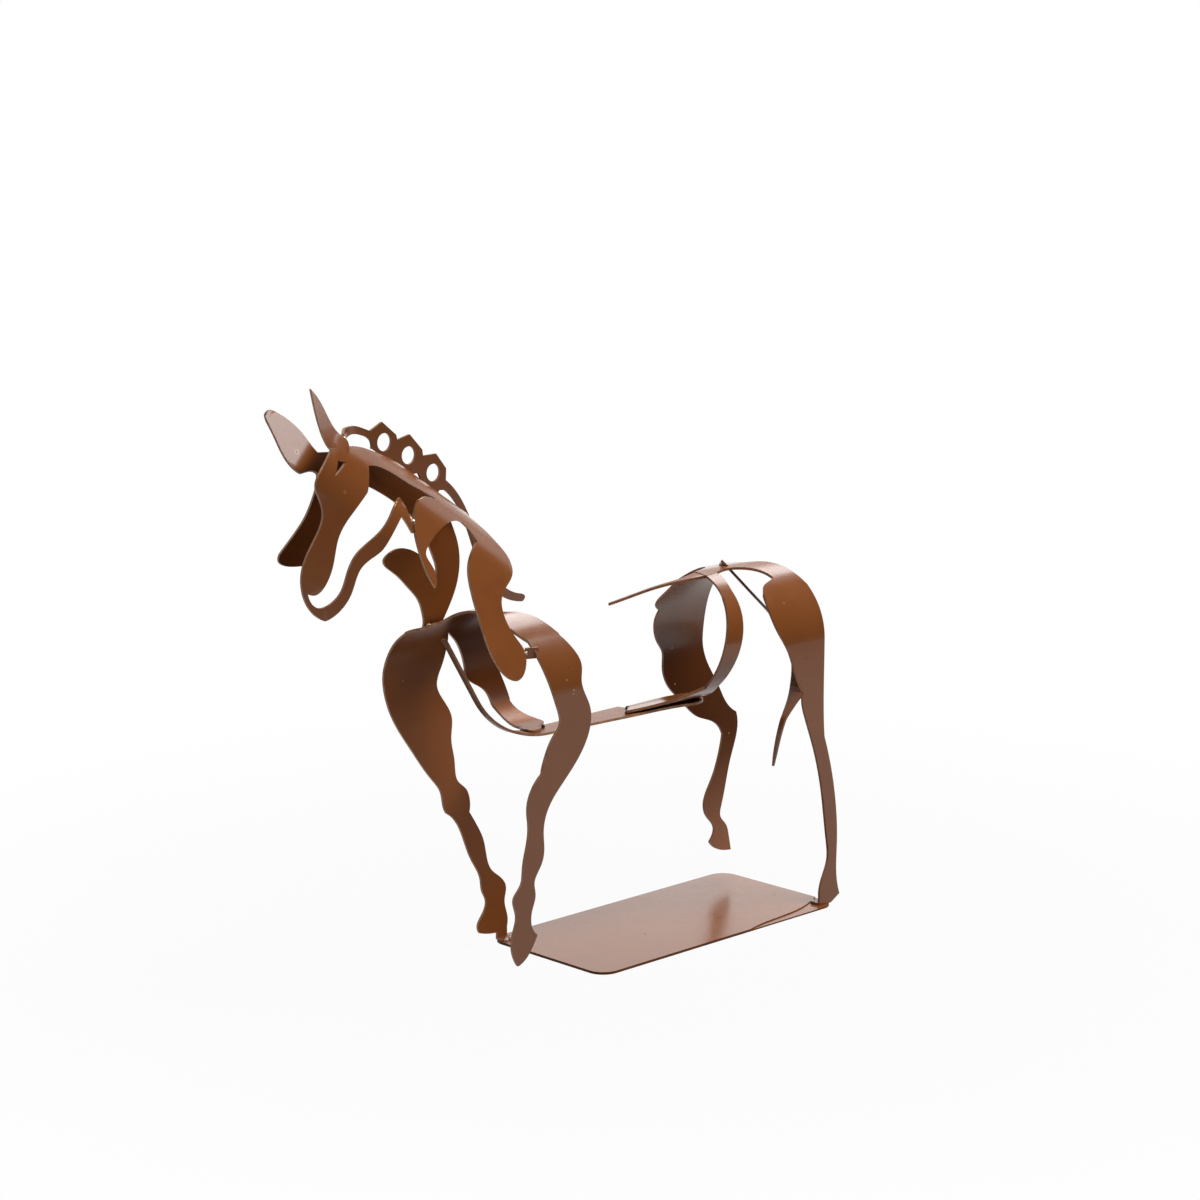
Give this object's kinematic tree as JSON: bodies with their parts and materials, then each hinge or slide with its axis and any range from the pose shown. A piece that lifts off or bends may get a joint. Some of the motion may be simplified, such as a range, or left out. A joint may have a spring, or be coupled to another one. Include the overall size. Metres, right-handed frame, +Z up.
{
  "type": "sheet metal horse ornament",
  "caption": "Trotting horse figure of thin painted sheet metal, cut to an open outline, rolled and tack welded, standing on a flat base plate with rounded corners.",
  "frame": {"origin": "middle of the base plate's underside", "axes": "+Z up, the horse faces -X, its left side is -Y"},
  "size_m": [0.2636, 0.062, 0.226],
  "materials": {
    "painted_sheet": "satin brown lacquer",
    "weld_metal": "bright tack welds"
  },
  "bodies": {
    "root": {"base_plate": "painted_sheet", "forequarters": "painted_sheet", "hindquarters": "painted_sheet", "near_neck": "painted_sheet", "far_neck": "painted_sheet", "mane": "painted_sheet", "belly_strap": "painted_sheet", "tail": "painted_sheet", "tack_welds": "weld_metal"}
  },
  "joints": []
}
